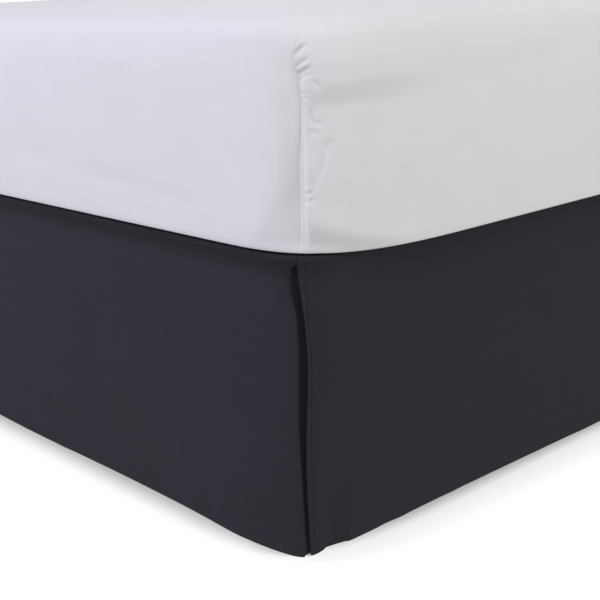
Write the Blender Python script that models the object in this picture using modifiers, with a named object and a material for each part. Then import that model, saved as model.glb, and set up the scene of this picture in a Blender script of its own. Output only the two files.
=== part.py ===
"""A tailored bed skirt with split corners, on its foundation and under its mattress.

Metres, +Z up. The floor is z = 0, the foot of the bed faces -Y and the head +Y. The origin is
on the floor under the middle of the whole thing. The skirt is four pieces of cloth: a flat deck
that lies on the foundation, a foot panel and two side panels. The foot panel turns each foot
corner in a soft fold and runs on behind the side panel, which ends there in a hemmed edge.
"""
from math import asin, cos, exp, hypot, pi, radians, sin, sqrt

import bmesh
import bpy
from mathutils import Vector
from mathutils.geometry import interpolate_bezier

# ---- driving sizes ---------------------------------------------------------------------------
DROP = 0.3556               # 14 inch: from the top of the deck to the hem on the floor
CLOTH = 0.002               # thickness of the skirt's cloth where it is doubled and pressed
TOUCH = 0.0003              # gap between pieces that touch
SKIRT_HALF_WIDTH = 0.751    # from the middle of the skirt to the outside of a side panel
SKIRT_MIDDLE_X = -0.020     # the mattress sits a little to the +X side of the skirt
HEM_FOOT_Y = -1.0245        # the plane of the hem at the foot end
SKIRT_HEAD_Y = 1.0165       # the line of the skirt's top edge at the head end
FOOT_FLARE = 0.014          # how far the foot panel's hem stands out from its top edge
TOP_CORNER_RADIUS = 0.060   # corners of the skirt's top edge, seen from above

CLOTH_TO_FOUNDATION = 0.009     # from the outside of the skirt in to the foundation's faces
FOUNDATION_DEPTH = 0.198
FOUNDATION_CORNER_RADIUS = 0.070
FOUNDATION_EDGE_RADIUS = 0.008
LEG_DIAMETER = 0.055            # at the top
LEG_FOOT_DIAMETER = 0.046
LEG_SIDES = 20
LEG_INSET = 0.140               # from the foundation's faces to the middle of a corner leg

MATTRESS_WIDTH = 1.524          # queen size
MATTRESS_LENGTH = 2.032
MATTRESS_DEPTH = 0.270
MATTRESS_CROWN = 0.012          # how much higher the middle of its top is
MATTRESS_MIDDLE_X = 0.0100
MATTRESS_FOOT_Y = -1.0060
MATTRESS_CORNER_ACROSS = 0.143  # where its big soft corners begin, along the foot end
MATTRESS_CORNER_ALONG = 0.188   # and along the sides
MATTRESS_CORNER_POWER = 2.25    # 2 is an ellipse, more is squarer
MATTRESS_SIDE_BOW = 0.003       # how much its sides bulge half way up

# Base colours (linear) and roughness.
CHARCOAL_CLOTH = ((0.030, 0.030, 0.037), 0.90)
WHITE_SHEET = ((0.72, 0.72, 0.76), 0.85)
BASE_COVER = ((0.62, 0.60, 0.56), 0.90)
BLACK_PLASTIC = ((0.020, 0.020, 0.022), 0.45)

# ---- the skirt's top edge --------------------------------------------------------------------
# Each panel goes up, rolls over the foundation's edge and is sewn to the deck.
ROLL_RADIUS = 0.008
ROLL_STEPS = 3
SEAM_INSET = 0.024              # from the outside of the skirt in to the seam with the deck
ROLL_HEIGHT = DROP - ROLL_RADIUS

# Heights of the rows of a hanging panel. The first two share a plan, so the hem stands upright.
HEM_ROW = 0.004
ROW_HEIGHTS = (0.0, HEM_ROW, 0.030, 0.065, 0.105, 0.145, 0.185, 0.225, 0.262, 0.295, 0.318,
               0.335, ROLL_HEIGHT)

# ---- a split corner --------------------------------------------------------------------------
# Plan positions here are in millimetres from the corner where the planes of the two hems would
# meet. across is towards the outside of the bed's side, so it is negative on the cloth, and
# along runs from the foot to the head.

# The side panel's hemmed front edge, at each height: where it stands along the side.
SPLIT_EDGE = (
    # height, along
    (0, 22.6), (95, 24.3), (150, 27.4), (195, 30.8), (235, 33.2), (273, 33.6), (302, 33.4),
    (322, 31.0), (348, 31.5),
)
EDGE_REACH = 80.0       # how far from that edge the cloth is drawn along with it

# The soft shape of the side panel's hem near the corner.
CURL_DEPTH = 6.2        # the hemmed edge curls inwards round the corner
CURL_LENGTH = 9.0
RIPPLE_DEPTH = 7.4      # and behind it the hem dips inwards
RIPPLE_ALONG = 52.0
RIPPLE_LENGTHS = (20.0, 28.0)   # towards the edge and away from it
LEAN_DEPTH = 1.6
LEAN_LENGTH = 150.0

# The foot panel as it comes round the corner, at each height.
CORNER_FOLD = (
    # height, start, lead, fold_across, fold_along, turn, tail, pocket
    (0, -92, 40, -11.5, 15.2, 120, 8, 2.0),
    (60, -88, 38, -13.5, 17.0, 122, 8, 4.0),
    (110, -84, 36, -15.8, 17.8, 124, 9, 6.0),
    (165, -80, 34, -18.6, 18.6, 126, 10, 8.0),
    (245, -74, 30, -19.3, 23.6, 122, 10, 8.0),
    (295, -70, 26, -20.2, 26.0, 116, 9, 7.0),
    (320, -68, 24, -24.0, 23.8, 110, 9, 7.0),
    (336, -66, 21, -24.6, 24.4, 96, 9, 5.0),
    (348, -60, 15, -24.0, 26.0, 56, 9, 1.0),
)
FOLD_COLUMNS = ("height", "start", "lead", "fold_across", "fold_along", "turn", "tail", "pocket")
POCKET_LENGTH = 22.0    # how far behind the side panel's edge the deep pocket of the split runs out
LAP_GAP_TOP = 1.5       # the space between the two panels where one lies behind the other
LAP_GAP_HEM = 2.2
# The foot panel's columns behind the side panel, back from that panel's edge.
RETURN_STATIONS = (3, 11, 20, 31, 45, 66, 90)
SPLIT_ANGLE = 48.5      # where the two panels' top edges meet on the round corner, in degrees
SPLIT_GAP = 0.7         # the gap between them there

# Soft, broad billows of the panels' hems: where, how long and how far out, in millimetres.
FOOT_BILLOWS = ((-112, 62, 3.6), (-360, 120, -1.6), (-610, 110, 1.8))
SIDE_BILLOWS = ((300, 130, -1.2), (720, 170, 1.6), (1240, 190, -1.5), (1690, 140, 1.4))

# Where the columns of the foot panel stand, in from the corner, besides the corner's own.
FOOT_STATIONS = (751, 620, 500, 400, 310, 240, 190, 155, 125)
CORNER_STEPS = 7
TUCK_STEPS = 4
# Where the columns of a side panel stand along the bed, between its two round ends.
SIDE_STATIONS = (84, 96, 112, 135, 170, 220, 290, 380, 520, 700, 900, 1120, 1340, 1550, 1750, 1900)
ARC_STEPS = 6
HEAD_WRAP_ANGLE = 45    # how far the side panels go round the head corners, in degrees

COLLECTION = "bed_skirt"


# ---- plain helpers ---------------------------------------------------------------------------
def ease(amount):
    return amount * amount * (3 - 2 * amount)


def table_value(rows, column, height):
    """The value of a column at a height, eased from one row of the table to the next."""
    if height <= rows[0][0]:
        return rows[0][column]
    for below, above in zip(rows, rows[1:]):
        if height <= above[0]:
            share = ease((height - below[0]) / (above[0] - below[0]))
            return below[column] + (above[column] - below[column]) * share
    return rows[-1][column]


def bump(place, centre, length):
    return exp(-((place - centre) / length) ** 2)


def billow(place, billows):
    return sum(depth * bump(place, centre, length) for centre, length, depth in billows)


def hang(height):
    """0 at the hem and 1 where the cloth rolls over the foundation's edge, height in mm."""
    return min(1.0, max(0.0, height) / (ROLL_HEIGHT * 1000))


def new_object(name, mesh, finish):
    colour, roughness = finish
    material = bpy.data.materials.new(name)
    material.use_nodes = True
    shader = material.node_tree.nodes["Principled BSDF"]
    shader.inputs["Base Color"].default_value = (*colour, 1)
    shader.inputs["Roughness"].default_value = roughness
    shader.inputs["Metallic"].default_value = 0
    mesh.materials.append(material)
    thing = bpy.data.objects.new(name, mesh)
    parts.objects.link(thing)
    return thing


def finish_mesh(name, bm):
    mesh = bpy.data.meshes.new(name)
    bm.to_mesh(mesh)
    bm.free()
    mesh.shade_smooth()
    return mesh


# ---- the side panel's surface, in plan, near a split corner (millimetres) ----------------------
TOP_RADIUS = TOP_CORNER_RADIUS * 1000
FLARE = FOOT_FLARE * 1000
SIDE_LENGTH = (SKIRT_HEAD_Y - HEM_FOOT_Y) * 1000
ARC_CENTRE_ALONG = FLARE + TOP_RADIUS           # middle of the foot corner's round top edge
HEAD_ARC_ALONG = SIDE_LENGTH - TOP_RADIUS       # middle of the head corner's


def round_corner(along):
    """How far the round top edge stands in from the straight side."""
    if along < ARC_CENTRE_ALONG:
        return TOP_RADIUS - sqrt(TOP_RADIUS ** 2 - (ARC_CENTRE_ALONG - along) ** 2)
    if along > HEAD_ARC_ALONG:
        return TOP_RADIUS - sqrt(TOP_RADIUS ** 2 - (along - HEAD_ARC_ALONG) ** 2)
    return 0.0


def side_across(along, height):
    """The outside of the side panel."""
    up = hang(height)
    edge = table_value(SPLIT_EDGE, 1, 0)
    curl = CURL_DEPTH * exp(-max(0.0, along - edge) / CURL_LENGTH)
    length = RIPPLE_LENGTHS[0] if along < RIPPLE_ALONG else RIPPLE_LENGTHS[1]
    ripple = RIPPLE_DEPTH * bump(along, RIPPLE_ALONG, length) * (1 - up)
    lean = LEAN_DEPTH * exp(-along / LEAN_LENGTH)
    hem = -curl - ripple - lean + billow(along, SIDE_BILLOWS)
    if along > HEAD_ARC_ALONG:
        hem -= round_corner(along)
    return hem * (1 - up) - round_corner(along) * up


def behind_side(along, height, depth):
    """A point a depth behind the outside of the side panel, square to it."""
    slope = (side_across(along + 1, height) - side_across(along - 1, height)) / 2
    size = hypot(1, slope)
    return Vector((side_across(along, height) - depth / size, along + depth * slope / size))


def side_places(start):
    """Where the side panel's columns stand along the bed, from its front edge at start."""
    first = asin((ARC_CENTRE_ALONG - start) / TOP_RADIUS)
    foot = [ARC_CENTRE_ALONG - TOP_RADIUS * sin(first * (1 - step / ARC_STEPS))
            for step in range(ARC_STEPS + 1)]
    last = radians(HEAD_WRAP_ANGLE)
    head = [HEAD_ARC_ALONG + TOP_RADIUS * sin(last * step / ARC_STEPS)
            for step in range(ARC_STEPS + 1)]
    return foot + list(SIDE_STATIONS) + head


def side_row(height):
    """The outside of the side panel at one height, from the split corner to the head."""
    start_top = table_value(SPLIT_EDGE, 1, ROW_HEIGHTS[-1] * 1000)
    shift = table_value(SPLIT_EDGE, 1, height) - start_top
    row = []
    for place in side_places(start_top):
        reach = max(0.0, 1 - (place - start_top) / EDGE_REACH)
        along = place + shift * ease(reach)
        row.append(Vector((side_across(along, height), along)))
    return row


def side_top_row():
    """The side panel's round top edge, where it rolls over the foundation."""
    start = ARC_CENTRE_ALONG - TOP_RADIUS * sin(radians(SPLIT_ANGLE) - SPLIT_GAP / 2 / TOP_RADIUS)
    return [Vector((-round_corner(along), along)) for along in side_places(start)]


def side_outward(point):
    """The direction in which the round top edge faces, seen from above."""
    if point.y < ARC_CENTRE_ALONG:
        return Vector((point.x + TOP_RADIUS, point.y - ARC_CENTRE_ALONG)).normalized()
    if point.y > HEAD_ARC_ALONG:
        return Vector((point.x + TOP_RADIUS, point.y - HEAD_ARC_ALONG)).normalized()
    return Vector((1, 0))


# ---- the foot panel's surface, in plan, near a split corner (millimetres) ----------------------
def foot_along(across, height):
    """The outside of the flat of the foot panel."""
    up = hang(height)
    return FLARE * up - billow(across, FOOT_BILLOWS) * (1 - up)


def fold_at(height):
    """The corner fold's sizes at a height, by the names of their columns."""
    return {name: table_value(CORNER_FOLD, column, height)
            for column, name in enumerate(FOLD_COLUMNS)}


def foot_half_row(height):
    """The outside of half a foot panel at one height, from its middle to its hidden end."""
    fold = fold_at(height)
    row = [Vector((-place, foot_along(-place, height))) for place in FOOT_STATIONS]
    start = Vector((fold["start"], foot_along(fold["start"], height)))
    crease = Vector((fold["fold_across"], fold["fold_along"]))
    facing = Vector((cos(radians(fold["turn"])), sin(radians(fold["turn"]))))
    row += interpolate_bezier(start, start + Vector((fold["lead"], 0)),
                              crease - facing * fold["tail"], crease, CORNER_STEPS + 1)
    lap = LAP_GAP_HEM + (LAP_GAP_TOP - LAP_GAP_HEM) * hang(height) + CLOTH * 1000
    edge = table_value(SPLIT_EDGE, 1, height)
    laid = [behind_side(edge + station, height, lap + fold["pocket"] * bump(station, 0, POCKET_LENGTH))
            for station in RETURN_STATIONS]
    ahead = (laid[1] - laid[0]).normalized()
    reach = (laid[0] - crease).length / 3
    tuck = interpolate_bezier(crease, crease + facing * reach,
                              laid[0] - ahead * reach, laid[0], TUCK_STEPS + 1)
    return row + list(tuck[1:]) + laid[1:]


def foot_top_row():
    """Half the foot panel's top edge, from its middle round to the split."""
    row = [Vector((-place, FLARE)) for place in FOOT_STATIONS]
    turned = pi / 2 - radians(SPLIT_ANGLE) - SPLIT_GAP / 2 / TOP_RADIUS
    for step in range(CORNER_STEPS + 1):
        angle = turned * step / CORNER_STEPS
        row.append(Vector((-TOP_RADIUS + TOP_RADIUS * sin(angle),
                           ARC_CENTRE_ALONG - TOP_RADIUS * cos(angle))))
    return row


def foot_outward(point):
    """The direction in which the foot panel's top edge faces, seen from above."""
    if point.x > -TOP_RADIUS:
        return Vector((point.x + TOP_RADIUS, point.y - ARC_CENTRE_ALONG)).normalized()
    return Vector((0, -1))


# ---- from plan rows to sheets ----------------------------------------------------------------
def to_world(point, side, height):
    """A plan point near the corner on the +X side (side 1) or the -X side (side -1)."""
    return Vector((SKIRT_MIDDLE_X + side * (SKIRT_HALF_WIDTH + point.x / 1000),
                   HEM_FOOT_Y + point.y / 1000, height))


def roll_rows(top, outward):
    """The rows over the foundation's edge: plan points moved in, and their heights."""
    rows = []
    for step in range(1, ROLL_STEPS + 1):
        angle = pi / 2 * step / ROLL_STEPS
        inward = ROLL_RADIUS * (1 - cos(angle)) * 1000
        rows.append(([point - outward(point) * inward for point in top],
                     ROLL_HEIGHT + ROLL_RADIUS * sin(angle)))
    rows.append(([point - outward(point) * SEAM_INSET * 1000 for point in top], DROP))
    return rows


def plan_height(height):
    """The hem's first two rows share a plan, so that the hem meets the floor squarely."""
    return 0.0 if height <= HEM_ROW else height * 1000


def cloth_sheet(name, columns, rows, place, missing):
    """A grid of columns and rows put in place, without its missing points, given thickness."""
    bm = bmesh.new()
    bmesh.ops.create_grid(bm, x_segments=columns - 1, y_segments=rows - 1, size=0.5)
    dropped = []
    for vert in bm.verts:
        column = round((vert.co.x + 0.5) * (columns - 1))
        row = round((vert.co.y + 0.5) * (rows - 1))
        if missing(column, row):
            dropped.append(vert)
        else:
            vert.co = place(column, row)
    bmesh.ops.delete(bm, geom=dropped, context="VERTS")
    sheet = new_object(name, finish_mesh(name, bm), CHARCOAL_CLOTH)
    thickness = sheet.modifiers.new("cloth", "SOLIDIFY")
    thickness.thickness = CLOTH
    thickness.offset = -1
    thickness.use_even_offset = True


def never(column, row):
    return False


def side_panel(name, side):
    hanging = [(side_row(plan_height(height)), height) for height in ROW_HEIGHTS]
    rows = hanging + roll_rows(side_top_row(), side_outward)
    columns = len(rows[0][0])

    def place(column, row):
        points, height = rows[row]
        point = points[column] if side > 0 else points[columns - 1 - column]
        return to_world(point, side, height)

    cloth_sheet(name, columns, len(rows), place, never)


def foot_panel(name):
    hanging = [(foot_half_row(plan_height(height)), height) for height in ROW_HEIGHTS]
    rows = hanging + roll_rows(foot_top_row(), foot_outward)
    half = len(hanging[0][0])
    rolled = len(rows[-1][0])       # columns that reach the deck's seam

    def find(column):
        """Column 0 is the hidden end on the -X side, and the last is the one on the +X side."""
        if column >= half - 1:
            return column - (half - 1), 1
        return (half - 1) - column, -1

    def place(column, row):
        points, height = rows[row]
        step, side = find(column)
        return to_world(points[step], side, height)

    def missing(column, row):
        step, side = find(column)
        return step >= rolled and row >= len(ROW_HEIGHTS)

    cloth_sheet(name, 2 * half - 1, len(rows), place, missing)


# ---- flat and filled pieces ------------------------------------------------------------------
SLAB_CORNER_STEPS = 8
SLAB_RIM_STEPS = 3


def rounded_slab(name, low, high, corner, edge, finish):
    """A box from low to high with round upright corners and, if edge isn't 0, rounded rims."""
    bm = bmesh.new()
    bmesh.ops.create_cube(bm, size=1)
    size = Vector(high) - Vector(low)
    middle = (Vector(high) + Vector(low)) / 2
    bmesh.ops.scale(bm, vec=size, verts=bm.verts)
    bmesh.ops.translate(bm, vec=middle, verts=bm.verts)
    upright = [e for e in bm.edges if abs(e.verts[0].co.z - e.verts[1].co.z) > size.z / 2]
    bmesh.ops.bevel(bm, geom=upright, offset=corner, segments=SLAB_CORNER_STEPS, profile=0.5,
                    affect="EDGES", offset_type="OFFSET")
    if edge:
        caps = [f for f in bm.faces if abs(f.normal.z) > 0.9]
        rims = {e for f in caps for e in f.edges}
        bmesh.ops.bevel(bm, geom=list(rims), offset=edge, segments=SLAB_RIM_STEPS, profile=0.5,
                        affect="EDGES", offset_type="OFFSET")
    new_object(name, finish_mesh(name, bm), finish)


# Of the points from the middle of a short end round a corner to the middle of a side, the shares
# that stand on the straight of the end and on the corner.
OUTLINE_END_SHARE = 0.20
OUTLINE_CORNER_SHARE = 0.50
OUTLINE_POINTS = 72


def outline_point(share):
    """A point of the mattress's outline, share running 0 to 1 round it, about its middle."""
    half_x = MATTRESS_WIDTH / 2
    half_y = MATTRESS_LENGTH / 2
    quarter, part = divmod(share * 4, 1)
    sign_x = (1, 1, -1, -1)[int(quarter)]
    sign_y = (-1, 1, 1, -1)[int(quarter)]
    if quarter % 2 == 1:
        part = 1 - part
    corner_end = OUTLINE_END_SHARE + OUTLINE_CORNER_SHARE
    if part < OUTLINE_END_SHARE:
        x = (half_x - MATTRESS_CORNER_ACROSS) * part / OUTLINE_END_SHARE
        y = half_y
    elif part < corner_end:
        angle = pi / 2 * (part - OUTLINE_END_SHARE) / OUTLINE_CORNER_SHARE
        power = 2 / MATTRESS_CORNER_POWER
        x = half_x - MATTRESS_CORNER_ACROSS * (1 - sin(angle) ** power)
        y = half_y - MATTRESS_CORNER_ALONG * (1 - max(0.0, cos(angle)) ** power)
    else:
        x = half_x
        y = (half_y - MATTRESS_CORNER_ALONG) * (1 - part) / (1 - corner_end)
    return Vector((sign_x * x, sign_y * y))


# The mattress's upright section: height above its bottom and how far in from its widest, in mm.
MATTRESS_SECTION = (
    # height, inset
    (0, 9), (1.2, 4.5), (4, 1.8), (10, 0.5), (40, 0.4), (95, 0), (150, 0.6), (196, 2.5),
    (228, 8), (250, 20), (263, 37), (270, 62),
)
MATTRESS_TOP_RINGS = (0.13, 0.25, 0.45, 0.70)       # further rings over its top, as shares inwards


def mattress_levels():
    """Height, inset and share inwards of each ring, from its bottom edge over its top."""
    levels = []
    for height, inset in MATTRESS_SECTION:
        hollow = MATTRESS_SIDE_BOW * (1 - sin(pi * height / (MATTRESS_DEPTH * 1000)))
        levels.append((height / 1000, inset / 1000 + hollow, 0))
    top, inset, _ = levels[-1]
    for share in MATTRESS_TOP_RINGS:
        levels.append((top + MATTRESS_CROWN * (1 - (1 - share) ** 2), inset, share))
    return levels


def mattress():
    """A grid wrapped round the outline, closed at its seam and capped."""
    middle_y = MATTRESS_FOOT_Y + MATTRESS_LENGTH / 2
    levels = mattress_levels()
    bm = bmesh.new()
    bmesh.ops.create_grid(bm, x_segments=OUTLINE_POINTS, y_segments=len(levels) - 1, size=0.5)
    for vert in bm.verts:
        point = outline_point((vert.co.x + 0.5) % 1)
        height, inset, share = levels[round((vert.co.y + 0.5) * (len(levels) - 1))]
        across = point.x * (1 - 2 * inset / MATTRESS_WIDTH) * (1 - share)
        along = point.y * (1 - 2 * inset / MATTRESS_LENGTH) * (1 - share)
        vert.co = (MATTRESS_MIDDLE_X + across, middle_y + along, DROP + TOUCH + height)
    bmesh.ops.remove_doubles(bm, verts=bm.verts, dist=0.0001)
    bmesh.ops.holes_fill(bm, edges=[e for e in bm.edges if e.is_boundary], sides=0)
    bmesh.ops.recalc_face_normals(bm, faces=bm.faces)
    new_object("mattress", finish_mesh("mattress", bm), WHITE_SHEET)


def foundation():
    reach = SKIRT_HALF_WIDTH - CLOTH_TO_FOUNDATION
    top = DROP - CLOTH - TOUCH
    foot = HEM_FOOT_Y + FOOT_FLARE + CLOTH_TO_FOUNDATION
    head = SKIRT_HEAD_Y - CLOTH_TO_FOUNDATION
    low = (SKIRT_MIDDLE_X - reach, foot, top - FOUNDATION_DEPTH)
    high = (SKIRT_MIDDLE_X + reach, head, top)
    rounded_slab("foundation", low, high, FOUNDATION_CORNER_RADIUS, FOUNDATION_EDGE_RADIUS, BASE_COVER)
    return Vector(low), Vector(high)


def legs(low, high):
    """Two rows of three under the foundation."""
    number = 0
    height = low.z - TOUCH
    middle_y = (low.y + high.y) / 2
    for x in (low.x + LEG_INSET, high.x - LEG_INSET):
        for y in (low.y + LEG_INSET, middle_y, high.y - LEG_INSET):
            number += 1
            name = f"foundation_leg_{number}"
            bm = bmesh.new()
            bmesh.ops.create_cone(bm, cap_ends=True, segments=LEG_SIDES, depth=height,
                                  radius1=LEG_FOOT_DIAMETER / 2, radius2=LEG_DIAMETER / 2)
            bmesh.ops.translate(bm, vec=(x, y, height / 2), verts=bm.verts)
            mesh = finish_mesh(name, bm)
            mesh.set_sharp_from_angle(angle=radians(40))
            new_object(name, mesh, BLACK_PLASTIC)


def deck():
    """The flat sheet that the panels' top edges are sewn to."""
    inset = SEAM_INSET + TOUCH
    low = (SKIRT_MIDDLE_X - SKIRT_HALF_WIDTH + inset, HEM_FOOT_Y + FOOT_FLARE + inset, DROP - CLOTH)
    high = (SKIRT_MIDDLE_X + SKIRT_HALF_WIDTH - inset, SKIRT_HEAD_Y - inset, DROP)
    rounded_slab("skirt_deck", low, high, TOP_CORNER_RADIUS - inset, 0, CHARCOAL_CLOTH)


# ---- build -----------------------------------------------------------------------------------
for old in list(bpy.data.objects):
    bpy.data.objects.remove(old, do_unlink=True)
parts = bpy.data.collections.new(COLLECTION)
bpy.context.scene.collection.children.link(parts)

foundation_low, foundation_high = foundation()
legs(foundation_low, foundation_high)
deck()
foot_panel("skirt_foot_panel")
side_panel("skirt_side_panel_right", 1)
side_panel("skirt_side_panel_left", -1)
mattress()
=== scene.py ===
from bisect import bisect_right
from math import cos, exp, hypot, pi, radians, sin, sqrt, tan

import bmesh
import bpy
from mathutils import Matrix, Vector, noise
from mathutils.geometry import interpolate_bezier


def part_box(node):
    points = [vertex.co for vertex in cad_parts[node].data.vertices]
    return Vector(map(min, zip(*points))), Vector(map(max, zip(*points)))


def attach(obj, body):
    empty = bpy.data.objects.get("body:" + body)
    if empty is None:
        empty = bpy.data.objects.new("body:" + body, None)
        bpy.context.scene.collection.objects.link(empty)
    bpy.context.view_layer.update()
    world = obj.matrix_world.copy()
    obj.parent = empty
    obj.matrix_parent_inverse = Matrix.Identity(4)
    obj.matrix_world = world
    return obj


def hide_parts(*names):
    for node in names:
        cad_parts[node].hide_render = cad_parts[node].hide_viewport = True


# A tailored bed skirt with split corners, on its foundation and under its mattress.
# Sizes are in millimetres in the tables and in metres in Blender. Foot of the bed to -Y, head to +Y.

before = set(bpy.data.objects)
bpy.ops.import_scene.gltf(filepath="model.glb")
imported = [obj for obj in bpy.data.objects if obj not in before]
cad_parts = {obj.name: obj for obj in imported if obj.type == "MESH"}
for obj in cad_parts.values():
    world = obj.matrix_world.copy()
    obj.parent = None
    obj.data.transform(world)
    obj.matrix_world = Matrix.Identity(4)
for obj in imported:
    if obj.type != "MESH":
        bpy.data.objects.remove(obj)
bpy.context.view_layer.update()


def ease(amount):  # from 0 to 1 with soft ends
    amount = min(1.0, max(0.0, amount))
    return amount * amount * (3 - 2 * amount)


def mix(low, high, share):
    return low + (high - low) * share


def bump(place, centre, length):
    return exp(-((place - centre) / length) ** 2)


def tableAt(rows, place, column=1):  # a smooth curve through the values in one column of the rows
    if place <= rows[0][0]:
        return rows[0][column]
    if place >= rows[-1][0]:
        return rows[-1][column]
    at = 1
    while place > rows[at][0]:
        at += 1
    x0, x1 = rows[at - 1][0], rows[at][0]
    y0, y1 = rows[at - 1][column], rows[at][column]
    slopes = []
    for middle in (at - 1, at):
        before, after = rows[max(0, middle - 1)], rows[min(len(rows) - 1, middle + 1)]
        slopes.append((after[column] - before[column]) / (after[0] - before[0]))
    t = (place - x0) / (x1 - x0)
    bow0 = slopes[0] * (x1 - x0) - (y1 - y0)
    bow1 = (y1 - y0) - slopes[1] * (x1 - x0)
    return mix(y0, y1, t) + t * (1 - t) * (bow0 * (1 - t) + bow1 * t)


def rowAt(rows, place):  # every column's value there
    return [tableAt(rows, place, column) for column in range(1, len(rows[0]))]


def fillTo(places, end, step):  # goes on in even steps until the end is passed
    while places[-1] < end:
        places.append(places[-1] + step)


def foldRelief(place, height, folds):  # soft straight folds: each fades in and out along its length
    total = 0.0
    for x0, z0, x1, z1, width, depth, fadeIn, fadeOut in folds:
        dx, dz = x1 - x0, z1 - z0
        span = dx * dx + dz * dz
        t = ((place - x0) * dx + (height - z0) * dz) / span
        if t <= 0 or t >= 1:
            continue
        off = ((place - x0) * dz - (height - z0) * dx) / sqrt(span)
        if abs(off) > 3 * width:
            continue
        fade = (ease(t / fadeIn) if fadeIn else 1) * (ease((1 - t) / fadeOut) if fadeOut else 1)
        total += depth * bump(off, 0, width) * fade
    return total


def drift(place, height, size, seed):  # slow uneven waves of the cloth, from -1 to 1
    return noise.noise(Vector((place / size, height / size, seed)))


def makeGrid(columns, rows, placeAt, uvAt, missing=None):  # a grid whose points are moved into place
    bm = bmesh.new()
    bmesh.ops.create_grid(bm, x_segments=columns - 1, y_segments=rows - 1, size=0.5)
    bm.verts.index_update()
    spots = [(round((vert.co.x + 0.5) * (columns - 1)), round((vert.co.y + 0.5) * (rows - 1)))
             for vert in bm.verts]
    threads = bm.loops.layers.uv.new("threads")
    for face in bm.faces:
        for loop in face.loops:
            loop[threads].uv = uvAt(*spots[loop.vert.index])
    gone = []
    for vert in bm.verts:
        spot = spots[vert.index]
        if missing and missing(*spot):
            gone.append(vert)
        else:
            vert.co = placeAt(*spot)
    bmesh.ops.delete(bm, geom=gone, context="VERTS")
    return bm


def addPiece(name, bm, materials, nodes=()):
    mesh = bpy.data.meshes.new(name)
    bm.to_mesh(mesh)
    bm.free()
    for material in materials:
        mesh.materials.append(material)
    mesh.shade_smooth()
    piece = bpy.data.objects.new(name, mesh)
    bpy.context.scene.collection.objects.link(piece)
    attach(piece, "root")
    if nodes:
        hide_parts(*nodes)
    return piece


def hexColour(code):  # sRGB hex to linear
    values = [int(code[at:at + 2], 16) / 255 for at in (1, 3, 5)]
    return [value / 12.92 if value <= 0.04045 else ((value + 0.055) / 1.055) ** 2.4
            for value in values] + [1]


def addNode(tree, kind, settings=None, links=None):
    node = tree.nodes.new("ShaderNode" + kind)
    for key, value in (settings or {}).items():
        if isinstance(key, int) or key in node.inputs:
            node.inputs[key].default_value = value
        else:
            setattr(node, key, value)
    for key, (source, output) in (links or {}).items():
        tree.links.new(source.outputs[output], node.inputs[key])
    return node


def newMaterial(name):
    material = bpy.data.materials.new(name)
    material.use_nodes = True
    tree = material.node_tree
    return material, tree, tree.nodes["Principled BSDF"]


def setStops(colours, stops):
    for stop, (position, code) in zip(colours.color_ramp.elements, stops):
        stop.position = position
        stop.color = hexColour(code)


def pressedTop(tree, uv, colours, pressed):  # painted shade: the colour is darkened up under the mattress's edge, where the mattress shades the cloth
    starts, full, amount, reach = pressed
    parts = addNode(tree, "SeparateXYZ", None, {"Vector": (uv, "UV")})
    high = addNode(tree, "MapRange", {"From Min": starts, "From Max": full}, {"Value": (parts, "Y")})
    away = addNode(tree, "Math", {"operation": "ABSOLUTE"}, {0: (parts, "X")})
    near = addNode(tree, "MapRange", {"From Max": reach, "To Min": amount, "To Max": 0.0},
                   {"Value": (away, "Value")})
    dark = addNode(tree, "Math", {"operation": "MULTIPLY"}, {0: (high, "Result"), 1: (near, "Result")})
    left = addNode(tree, "Math", {"operation": "SUBTRACT", 0: 1.0}, {1: (dark, "Value")})
    return addNode(tree, "VectorMath", {"operation": "SCALE"},
                   {0: (colours, "Color"), "Scale": (left, "Value")})


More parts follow.
